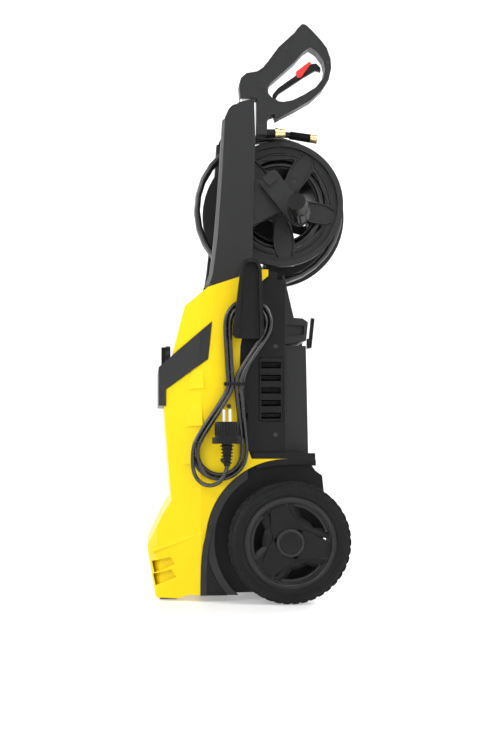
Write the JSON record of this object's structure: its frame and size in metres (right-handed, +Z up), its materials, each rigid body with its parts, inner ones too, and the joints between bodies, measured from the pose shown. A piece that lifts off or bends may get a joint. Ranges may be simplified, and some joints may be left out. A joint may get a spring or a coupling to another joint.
{
  "type": "pressure washer",
  "caption": "Upright electric pressure washer on two wheels, with a hose reel between its handle arms, a stowed spray gun and a mains cord on a hook",
  "frame": {"origin": "On the floor, under the middle of the machine's overall box.", "axes": "+Z is up. -Y is the yellow front with the switch, and +Y is the back with the wheels. +X is the machine's left, the side with the cord hook, the spray gun and the reel's crank."},
  "size_m": [0.41, 0.3384, 0.919],
  "materials": {
    "yellow_plastic": "injection-moulded shell, satin with a fine grain",
    "black_plastic": "injection-moulded, fine spark-eroded grain",
    "charcoal_plastic": "glass-filled plastic, slightly coarser grain",
    "soft_grip": "soft over-moulded grip",
    "red_plastic": "polished red plastic",
    "tyre": "hard rubber with moulded tread",
    "hose_rubber": "smooth extruded hose, slightly glossy",
    "cord_pvc": "smooth extruded PVC sheath, glossy",
    "bright_steel": "zinc-plated steel",
    "dark_steel": "blackened steel screws",
    "chrome": "nickel-plated pins",
    "brass": "turned brass",
    "cast_metal": "painted cast housing"
  },
  "bodies": {
    "machine": {"base_chassis": "black_plastic", "front_cover": "yellow_plastic", "front_band": "charcoal_plastic", "rear_housing": "black_plastic", "vent_grilles": "black_plastic", "arch_trims": "charcoal_plastic", "rear_column": "charcoal_plastic", "column_bracket": "charcoal_plastic", "rear_hook": "black_plastic", "cord_hook": "black_plastic", "cover_screws": "dark_steel", "front_feet": "soft_grip", "wheel_axle": "bright_steel", "axle_clips": "bright_steel", "handle_arm_left": "charcoal_plastic", "handle_arm_right": "charcoal_plastic", "handle_grip": "soft_grip", "reel_bracket_left": "charcoal_plastic", "reel_bracket_right": "charcoal_plastic", "reel_swivel": "brass", "feed_hose": "hose_rubber", "motor": "cast_metal", "pump": "cast_metal", "water_inlet": "black_plastic", "switch_box": "black_plastic", "cord_gland": "black_plastic", "power_cord": "cord_pvc", "plug_lead": "cord_pvc", "cord_hank": "cord_pvc", "cord_tie": "black_plastic", "plug_body": "black_plastic", "plug_pins": "chrome"},
    "wheel_left": {"tyre_left": "tyre", "rim_left": "charcoal_plastic", "hub_cap_left": "charcoal_plastic"},
    "wheel_right": {"tyre_right": "tyre", "rim_right": "charcoal_plastic", "hub_cap_right": "charcoal_plastic"},
    "reel": {"reel_shaft": "bright_steel", "reel_drum": "black_plastic", "reel_flange_near": "charcoal_plastic", "reel_flange_far": "charcoal_plastic", "reel_screws": "dark_steel", "hose_coil": "hose_rubber", "hose_loops": "hose_rubber", "hose_sleeve": "soft_grip", "hose_nut": "brass", "crank_arm": "charcoal_plastic"},
    "crank_stem": {"knob_stem": "bright_steel"},
    "crank_knob": {"knob_grip": "black_plastic"},
    "gun": {"gun_shell_left": "charcoal_plastic", "gun_shell_right": "charcoal_plastic", "gun_barrel": "bright_steel", "gun_inlet": "black_plastic", "gun_nipple": "brass", "gun_screws": "dark_steel", "trigger_pin": "dark_steel"},
    "trigger": {"gun_trigger": "black_plastic"},
    "lock": {"trigger_lock": "red_plastic"},
    "switch": {"switch_knob": "black_plastic"}
  },
  "joints": [
    {"name": "wheel_left_spin", "type": "hinge", "parent": "machine", "child": "wheel_left", "pos_m": [0.18, 0.05075, 0.095], "axis": [1, 0, 0], "continuous": true},
    {"name": "wheel_right_spin", "type": "hinge", "parent": "machine", "child": "wheel_right", "pos_m": [-0.18, 0.05075, 0.095], "axis": [1, 0, 0], "continuous": true},
    {"name": "reel_spin", "type": "hinge", "parent": "machine", "child": "reel", "pos_m": [0, 0.04725, 0.638], "axis": [1, 0, 0], "continuous": true},
    {"name": "knob_fold", "type": "hinge", "parent": "reel", "child": "crank_stem", "pos_m": [0.151, 0.07065, 0.60806], "axis": [0, 0.788, 0.6157], "range_deg": [-70, 20]},
    {"name": "knob_spin", "type": "hinge", "parent": "crank_stem", "child": "crank_knob", "pos_m": [0.151, 0.07065, 0.60806], "axis": [0.9397, -0.2106, 0.2695], "continuous": true},
    {"name": "gun_lift", "type": "slide", "parent": "machine", "child": "gun", "axis": [0, 0, 1], "range_m": [0, 0.11]},
    {"name": "trigger_pull", "type": "hinge", "parent": "gun", "child": "trigger", "pos_m": [0.103, 0.03425, 0.79], "axis": [1, 0, 0], "range_deg": [0, 9], "stiffness_Nm_per_rad": 2},
    {"name": "lock_swing", "type": "hinge", "parent": "trigger", "child": "lock", "pos_m": [0.103, 0.07325, 0.8375], "axis": [1, 0, 0], "range_deg": [0, 4]},
    {"name": "switch_turn", "type": "hinge", "parent": "machine", "child": "switch", "pos_m": [0, -0.13925, 0.388], "axis": [0, 1, 0], "range_deg": [0, 90]}
  ]
}
